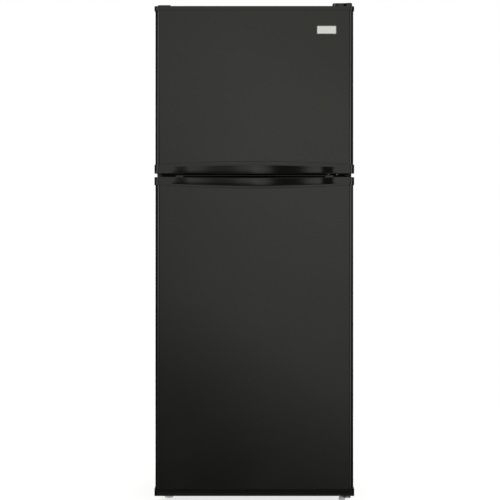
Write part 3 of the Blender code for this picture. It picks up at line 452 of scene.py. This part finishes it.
def hinge_cover():
    """Moulded cover whose front ends in a round knuckle, with a groove beside it whose back is a matte black
    strip: painted shade.
    """
    low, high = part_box("top_hinge_cover")
    knuckle_x, knuckle_y, radius = 0.2845, -0.2870, 0.0106
    face, groove = -0.2912, 0.2700
    rings = []
    for inset, z in ((0, SKIRT_LOW), (0, high.z - 0.0012), (0.0004, high.z - 0.0004), (0.0012, high.z)):
        outline = [(low.x + inset, high.y - inset), (knuckle_x + radius - inset, high.y - inset)]
        outline += arc((knuckle_x, knuckle_y), radius - inset, 0, -166, 26)
        outline.append((groove - inset, GROOVE_Y))
        outline += arc((groove - inset - 0.0012, face + inset + 0.0012), 0.0012, 0, -90, 4)
        outline += [(low.x + 0.0095 + inset, face + inset), (low.x + 0.0008 + inset, face + 0.0040 + inset)]
        outline += [(low.x + 0.0002 + inset, face + 0.0046 + inset), (low.x + inset, face + 0.0056 + inset)]
        rings.append([(x, y, z) for x, y in outline])
    piece("hinge_cover", loft(rings), CAP, "cabinet", ("top_hinge_cover",), smooth=30)
    # A matte black strip on the back of the groove: painted shade.
    shade = bmesh.new()
    shade_low = (groove - 0.0003, GROOVE_Y - 0.0002, SKIRT_LOW)
    shade_high = (knuckle_x - radius + 0.0018, GROOVE_Y + 0.0005, high.z - 0.0004)
    add_box(shade, shade_low, shade_high)
    piece("hinge_groove_painted_shade", shade, SHADE, "cabinet", edges=0.0001)
    plug_x, plug_y = 0.2835, -0.2815
    circle = [2 * math.pi * k / 24 for k in range(24)]
    levels = ((0.0068, -0.0010), (0.0068, -0.0002), (0.0063, 0.0001), (0.0032, 0.0001))
    cup = []
    for r, lift in levels:
        cup.append([(plug_x + r * math.cos(a), plug_y + r * math.sin(a), high.z + lift) for a in circle])
    piece("hinge_cover_plug", loft(cup), GREY, "cabinet", smooth=30)


badge()
hinge_cover()


# Seams ----------------------------------------------------------------------------------------

TAPE_Y, TAPE_THICK, TAPE_HALF = -0.30396, 0.0002, 0.003
ARC_HALF, ARC_RISE = 0.2832, 0.0088


def seam_tape(name, points, body):
    """Dark tape behind the joint between a door's skin and its cap, which keeps the foam in; its dark also
    stands in for the shade inside the joint, as painted shade.
    """
    back = TAPE_Y + TAPE_THICK
    section = ((TAPE_Y, -TAPE_HALF), (TAPE_Y, TAPE_HALF), (back, TAPE_HALF), (back, -TAPE_HALF))
    rings = [[(x, y, z + rise) for y, rise in section] for x, z in points]
    piece(name, loft(rings), RUBBER, body)


def seam_arc(height, rise):
    """Points along the shallow arc where a skin meets its cap."""
    xs = [ARC_HALF * (k / 20 - 1) for k in range(41)]
    return [(x, height + rise * (1 - (x / ARC_HALF) ** 2)) for x in xs]


seam_tape("freezer_arc_tape", seam_arc(1.0185, ARC_RISE), "freezer_door")
seam_tape("fridge_arc_tape", seam_arc(0.9565, -ARC_RISE), "fridge_door")
seam_tape("freezer_top_tape", [(-0.283, 1.4827), (0.283, 1.4827)], "freezer_door")
seam_tape("fridge_low_tape", [(-0.283, 0.0429), (0.283, 0.0429)], "fridge_door")


def gap_shade_strip():
    """Matte black strip on top of the lower door, behind the grip: painted shade in the gap between the doors.
    """
    bm = bmesh.new()
    add_box(bm, (-0.214, DOOR_FACE - 0.0012, 0.9781), (0.214, DOOR_FACE + 0.0040, 0.9846))
    piece("door_gap_painted_shade", bm, SHADE, "fridge_door", edges=0.0004)


gap_shade_strip()


# Gaskets --------------------------------------------------------------------------------------

def gasket(node, body):
    """Extruded seal: a foot in the door, a folded bellows, and a magnet pocket that meets the cabinet."""
    low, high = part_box(node)
    width, depth = 0.024, high.y - low.y
    section = [
        (0.002, 0), (0.0, 0.0012), (0.0006, 0.0026), (0.0045, 0.0032), (0.0020, 0.0052),
        (0.0042, 0.0066), (0.0008, 0.0084), (0.0, 0.0104), (0.0010, depth), (width - 0.0070, depth),
        (width - 0.0058, depth - 0.0012), (width - 0.0064, 0.0078), (width - 0.0095, 0.0066),
        (width - 0.0060, 0.0050), (width - 0.0100, 0.0034), (width, 0.0022), (width, 0.0),
    ]
    rings = []
    for u, y in section:
        half = high.x - u
        z0, z1 = low.z + u, high.z - u
        outline = corner_ring(-half, half, z0, z1, max(0.004 - u * 0.1, 0.001), 3)
        rings.append([(x, low.y + y, z) for x, z in outline])
    name = node.removesuffix("_gasket") + "_seal"
    piece(name, loft(rings, along=True), RUBBER, body, (node,), smooth=50)


gasket("freezer_door_gasket", "freezer_door")
gasket("fridge_door_gasket", "fridge_door")


# Liners ---------------------------------------------------------------------------------------

MOUTH_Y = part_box("fridge_liner")[0].y


def cabinet_liner(name, node, half, profile, ribs, radius=0.014, steps=4):
    """Formed cavity with round corners, a flange round its mouth, and ledges for the shelves."""
    low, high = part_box(node)
    bm = bmesh.new()
    sides = [[bm.verts.new((x, y, z)) for y, z in profile] for x in (-half, half)]
    bm.faces.new(sides[0])
    bm.faces.new(sides[1][::-1])
    count = len(profile)
    for k in range(count):
        n = (k + 1) % count
        if profile[k][0] == MOUTH_Y and profile[n][0] == MOUTH_Y:
            continue
        bm.faces.new((sides[0][k], sides[0][n], sides[1][n], sides[1][k]))
    inner = [e for e in bm.edges if not e.is_boundary]
    bmesh.ops.bevel(bm, geom=inner, offset=radius, segments=steps, profile=0.5, affect="EDGES")
    z0, z1 = profile[0][1], profile[-1][1]
    middle, tall = (z0 + z1) / 2, (z1 - z0) / 2
    edges = [e for e in bm.edges if e.is_boundary]
    grown = bmesh.ops.extrude_edge_only(bm, edges=edges)["geom"]
    for vertex in (v for v in grown if isinstance(v, bmesh.types.BMVert)):
        x, z = vertex.co.x, vertex.co.z
        dx, dz = abs(x) - (half - radius), abs(z - middle) - (tall - radius)
        angle = math.degrees(math.atan2(max(dz, 0), max(dx, 1e-9)))
        if dx < 1e-6:
            angle = 90
        if angle < 50:
            vertex.co.x = math.copysign(high.x, x)
        if angle > 40:
            vertex.co.z = low.z if z < middle else high.z
    bmesh.ops.recalc_face_normals(bm, faces=bm.faces)
    probe = max(bm.faces, key=lambda f: f.calc_center_median().y)
    if probe.normal.y > 0:
        bmesh.ops.reverse_faces(bm, faces=bm.faces)
    piece(name, bm, LINER, "cabinet", (node,), smooth=60, sheet=-0.0012)
    for side in (-1, 1):
        for i, (height, end) in enumerate(ribs):
            rib = bmesh.new()
            near, far = sorted((side * (half - 0.0085), side * (half + 0.0003)))
            add_box(rib, (near, -0.100, height - 0.008), (far, end, height))
            word = "left" if side < 0 else "right"
            piece(f"{name}_ledge_{i}_{word}", rib, LINER, "cabinet", edges=0.0025)


cabinet_liner(
    "freezer_cavity", "freezer_liner", 0.246,
    [(MOUTH_Y, 1.016), (0.256, 1.016), (0.256, 1.446), (MOUTH_Y, 1.446)],
    [(1.2117, 0.160)],
)
cabinet_liner(
    "fridge_cavity", "fridge_liner", 0.255,
    [(MOUTH_Y, 0.085), (0.083, 0.085), (0.083, 0.290), (0.275, 0.290), (0.275, 0.957), (MOUTH_Y, 0.957)],
    [(0.2912, 0.078), (0.4837, 0.200), (0.6837, 0.200)],
)


def door_liner(name, node, body, dike):
    """Formed inner face of a door, with a raised rim that carries the bins."""
    low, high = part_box(node)
    face = -0.253
    half, rim_low, rim_high = dike
    levels = [
        (high.x, low.z, high.z, face), (half, rim_low, rim_high, face),
        (half - 0.004, rim_low + 0.004, rim_high - 0.004, face + 0.038),
        (half - 0.026, rim_low + 0.026, rim_high - 0.026, face + 0.038),
        (half - 0.030, rim_low + 0.030, rim_high - 0.030, face - 0.009),
    ]
    rings = [[(-h, y, a), (h, y, a), (h, y, b), (-h, y, b)] for h, a, b, y in levels]
    bm = loft(rings, caps=False)
    bm.verts.ensure_lookup_table()
    bm.faces.new(bm.verts[-4:])
    bmesh.ops.recalc_face_normals(bm, faces=bm.faces)
    inner = [e for e in bm.edges if not e.is_boundary and e.calc_face_angle(0) > 0.3]
    corners = [e for e in bm.edges if not e.is_boundary and e not in inner and e.calc_length() > 0.005]
    bmesh.ops.bevel(bm, geom=inner + corners, offset=0.0055, segments=4, profile=0.5, affect="EDGES")
    probe = max(bm.faces, key=lambda f: f.calc_area())
    if probe.normal.y < 0:
        bmesh.ops.reverse_faces(bm, faces=bm.faces)
    piece(name, bm, LINER, body, (node,), smooth=60, sheet=-0.0013)


door_liner("freezer_door_lining", "freezer_door_liner", "freezer_door", (0.232, 1.030, 1.432))
door_liner("fridge_door_lining", "fridge_door_liner", "fridge_door", (0.238, 0.099, 0.943))


# Bins and drawer ------------------------------------------------------------------------------

def tray(name, node, body, draft=0.004, wall=0.0022, radius=0.014):
    """Moulded tray with round corners, drafted walls and a rolled rim."""
    low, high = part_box(node)
    neck, inner = 0.0015, radius - wall
    levels = (
        (draft + 0.003, low.z, radius - 0.002), (draft, low.z + 0.003, radius),
        (neck, high.z - 0.010, radius), (neck, high.z - 0.008, radius), (0, high.z - 0.0065, radius),
        (0, high.z - 0.001, radius), (0.001, high.z, radius), (neck + wall, high.z, inner),
        (neck + wall + 0.001, high.z - 0.002, inner), (draft + wall, low.z + 0.006, inner),
        (draft + wall + 0.003, low.z + wall, inner - 0.002),
    )
    rings = []
    for inset, z, corner in levels:
        ring = corner_ring(low.x + inset, high.x - inset, low.y + inset, high.y - inset, corner)
        rings.append([(x, y, z) for x, y in ring])
    piece(name, loft(rings), CLEAR, body, (node,), smooth=40)


tray("freezer_tray_upper", "freezer_bin_upper", "freezer_door")
tray("freezer_tray_lower", "freezer_bin_lower", "freezer_door")
tray("middle_tray", "middle_bin", "fridge_door")
tray("gallon_tray", "gallon_bin", "fridge_door")
tray("crisper", "crisper_drawer", "crisper_drawer", draft=0.006, wall=0.0026, radius=0.018)


# Fixings and marks ----------------------------------------------------------------------------

def screw_head(bm, place, turn, radius):
    """Pan head with a cross recess, its base on the XY plane before it is placed."""
    angles = [2 * math.pi * k / 16 for k in range(16)]
    rings = []
    for r, z in ((1.0, 0.0), (1.0, 0.22), (0.85, 0.42), (0.55, 0.52)):
        rings.append([(radius * r * math.cos(a), radius * r * math.sin(a), radius * z) for a in angles])
    inner = []
    for k, a in enumerate(angles):
        reach = 0.42 if k % 4 == 0 else 0.14
        inner.append((radius * reach * math.cos(a), radius * reach * math.sin(a), radius * 0.50))
    rings.append(inner)
    rings.append([(x * 0.7, y * 0.7, radius * 0.2) for x, y, z in inner])
    head = loft(rings)
    matrix = Matrix.Translation(place) @ turn
    made = bpy.data.meshes.new("head")
    head.transform(matrix)
    head.to_mesh(made)
    head.free()
    bm.from_mesh(made)
    bpy.data.meshes.remove(made)


TURN_BACK = Matrix.Rotation(math.radians(-90), 4, "X")
TURN_FRONT = Matrix.Rotation(math.radians(90), 4, "X")


def screws(name, places, turn, radius, body):
    bm = bmesh.new()
    for place in places:
        screw_head(bm, place, turn, radius)
    piece(name, bm, SCREW, body, smooth=30)


sheet_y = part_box("rear_cover")[1].y
rear = [(x, sheet_y, z) for x in (-0.287, 0.287) for z in (0.27, 0.52, 0.77, 1.02, 1.27, 1.48)]
rear += [(x, sheet_y, 1.488) for x in (-0.19, -0.06, 0.06, 0.19)]
screws("panel_screws", rear, TURN_BACK, 0.0038, "cabinet")
cover = [(x, sheet_y, z) for x in (-0.286, 0.286) for z in (0.052, 0.232)] + [(0, sheet_y, 0.235)]
screws("cover_screws", cover, TURN_BACK, 0.0038, "cabinet")
screws("middle_hinge_screws", [(x, -0.2433, 0.9914) for x in (0.226, 0.252)], TURN_FRONT, 0.0030, "cabinet")


def dial_marks():
    """Raised strokes round the thermostat knob, growing from the warmest to the coldest setting."""
    bm = bmesh.new()
    low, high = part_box("temperature_knob")
    centre = (low + high) / 2
    face_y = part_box("control_box")[0].y
    reach = 0.0172
    for k in range(7):
        a = math.radians(210 - 40 * k)
        size = 0.0006 + 0.00012 * k
        verts = add_box(bm, (-0.0003, -0.0003, -size), (0.0003, 0.0002, size))
        spot = (centre.x + reach * math.cos(a), face_y, centre.z + reach * math.sin(a))
        matrix = Matrix.Translation(spot) @ Matrix.Rotation(math.pi / 2 - a, 4, "Y")
        bmesh.ops.transform(bm, matrix=matrix, verts=verts)
    piece("dial_marks", bm, GREY, "cabinet")


dial_marks()


# Floor, light and camera ----------------------------------------------------------------------

def floor():
    bm = bmesh.new()
    bmesh.ops.create_circle(bm, cap_ends=True, segments=96, radius=6.0)
    mesh = bpy.data.meshes.new("floor")
    bm.to_mesh(mesh)
    bm.free()
    made = Surface("studio_floor", (0.30, 0.30, 0.30), 0.9)
    made.set("Specular IOR Level", 0.0)
    made.set("Emission Color", (1, 1, 1, 1))
    made.set("Emission Strength", 0.75)
    gradient = made.nodes.new("ShaderNodeTexGradient")
    gradient.gradient_type = "SPHERICAL"
    made.link(made.mapped((0.4, 0.4, 0.4)), gradient.inputs["Vector"])
    made.link(made.ranged(gradient.outputs["Fac"], 0, 1, 0.05, 0.6), made.shader.inputs["Alpha"])
    mesh.materials.append(made.material)
    plane = bpy.data.objects.new("floor", mesh)
    SCENE.collection.objects.link(plane)
    plane.visible_glossy = False


def ramp(tree, stops, value):
    """A colour ramp over 0 to 1 with grey stops (position, level)."""
    made = tree.nodes.new("ShaderNodeValToRGB")
    made.color_ramp.interpolation = "LINEAR"
    elements = made.color_ramp.elements
    elements.remove(elements[1])
    elements[0].position = stops[0][0]
    for position, _ in stops[1:]:
        elements.new(position)
    for element, (_, level) in zip(elements, stops):
        element.color = (level, level, level, 1)
    tree.links.new(value, made.inputs["Fac"])
    return made.outputs["Color"]


def world():
    """White to the camera. To the object, a studio with a lit front and dark gaps beside it."""
    made = bpy.data.worlds.new("studio")
    made.use_nodes = True
    SCENE.world = made
    tree = made.node_tree
    nodes, links = tree.nodes, tree.links
    nodes.clear()

    def math_node(operation, *values):
        node = nodes.new("ShaderNodeMath")
        node.operation = operation
        for socket, value in zip(node.inputs, values):
            if isinstance(value, (int, float)):
                socket.default_value = value
            else:
                links.new(value, socket)
        return node.outputs["Value"]

    coords = nodes.new("ShaderNodeTexCoord")
    parts = nodes.new("ShaderNodeSeparateXYZ")
    links.new(coords.outputs["Generated"], parts.inputs["Vector"])
    x, y, z = parts.outputs
    azimuth = math_node("ARCTAN2", x, math_node("MULTIPLY", y, -1.0))
    turn = math_node("MULTIPLY_ADD", azimuth, 0.5 / math.pi, 0.5)
    sides = ramp(tree, [(0.5 + a / 360, level / BRIGHTEST) for a, level in AZIMUTH_LEVELS], turn)
    beside = math_node("MAXIMUM", math_node("MINIMUM", x, SLANT_REACH), -SLANT_REACH)
    slant = math_node("MULTIPLY", beside, SLANT)
    height = math_node("MULTIPLY_ADD", math_node("ADD", z, slant), 0.5, 0.5)
    stops = [(0.5 + 0.5 * math.sin(math.radians(e)), level) for e, level in HEIGHT_LEVELS]
    heights = ramp(tree, stops, height)
    overhead = math_node("MULTIPLY_ADD", z, 2.2, -0.75)
    overhead.node.use_clamp = True
    blend = nodes.new("ShaderNodeMix")
    blend.data_type = "FLOAT"
    links.new(overhead, blend.inputs["Factor"])
    links.new(sides, blend.inputs["A"])
    blend.inputs["B"].default_value = 1.0 / BRIGHTEST
    level = math_node("MULTIPLY", blend.outputs["Result"], heights)
    lit = nodes.new("ShaderNodeBackground")
    lit.inputs["Color"].default_value = (1.0, 1.0, 0.93, 1)
    links.new(math_node("MULTIPLY", level, BRIGHTEST), lit.inputs["Strength"])
    white = nodes.new("ShaderNodeBackground")
    white.inputs["Color"].default_value = (1, 1, 1, 1)
    path = nodes.new("ShaderNodeLightPath")
    choose = nodes.new("ShaderNodeMixShader")
    links.new(path.outputs["Is Camera Ray"], choose.inputs["Fac"])
    links.new(lit.outputs["Background"], choose.inputs[1])
    links.new(white.outputs["Background"], choose.inputs[2])
    output = nodes.new("ShaderNodeOutputWorld")
    links.new(choose.outputs["Shader"], output.inputs["Surface"])


# Light level by degrees round from the front, and by degrees above the horizon.
BRIGHTEST = 3.0
SLANT, SLANT_REACH = 0.45, 0.08    # the bands tilt this much, out to this far from the middle
AZIMUTH_LEVELS = [
    (-180, 0.45), (-168, 0.8), (-155, 0.12), (-115, 0.12), (-98, 0.05), (-82, 0.03),
    (-56, 0.03), (-52, 2.9), (-36, 2.9), (-32, 0.22), (-22, 0.22), (-17, 0.33), (-11, 0.66), (-3.3, 0.80),
    (0, 1.0), (3.3, 0.98), (9, 0.80), (12.5, 0.56), (15, 0.15), (19, 0.05), (25, 0.15), (32, 0.22),
    (36, 2.9), (52, 2.9), (56, 0.03), (82, 0.03), (98, 0.05), (155, 0.12), (168, 0.8), (180, 0.45),
]
HEIGHT_LEVELS = [
    (-90, 0.35), (-45, 0.7), (-30, 0.9), (-20, 0.95), (-15.5, 0.75), (-13, 0.10), (-11, 0.09), (-9.6, 0.12),
    (-8.2, 0.20), (-7.4, 0.27), (-6.2, 0.40), (-5.1, 0.57), (-4.3, 0.69), (-3.6, 0.86), (-2, 0.90),
    (0.1, 0.88), (1.0, 0.95), (1.6, 1.05), (3.3, 1.09), (6, 1.09), (7.6, 1.03), (8.8, 0.85), (10.5, 0.9),
    (13, 1.0), (90, 1.0),
]


def area_light(name, place, target, size, power):
    data = bpy.data.lights.new(name, "AREA")
    data.shape = "DISK"
    data.size = size
    data.energy = power
    made = bpy.data.objects.new(name, data)
    SCENE.collection.objects.link(made)
    made.location = place
    made.rotation_euler = (Vector(target) - Vector(place)).to_track_quat("-Z", "Y").to_euler()
    made.visible_glossy = False
    made.visible_camera = False


def camera():
    """Level camera in front of the doors."""
    distance, frame_width, centre_x, centre_z, eye_z = 4.5, 1.5035, -0.0131, 0.7612, 0.80
    data = bpy.data.cameras.new("camera")
    data.sensor_width = 36
    data.lens = data.sensor_width * distance / frame_width
    data.shift_y = (centre_z - eye_z) / frame_width
    made = bpy.data.objects.new("camera", data)
    SCENE.collection.objects.link(made)
    made.location = (centre_x, DOOR_FACE - distance, eye_z)
    made.rotation_euler = (math.radians(90), 0, 0)
    SCENE.camera = made


floor()
world()
area_light("key", (-1.8, -2.6, 2.6), (0, 0, 0.6), 2.2, 55)
area_light("fill", (2.2, -1.6, 1.8), (0, 0, 0.8), 2.0, 25)
area_light("rear", (0.6, 3.0, 2.2), (0, 0.3, 0.8), 2.4, 60)
camera()
SCENE.view_settings.view_transform = "Standard"
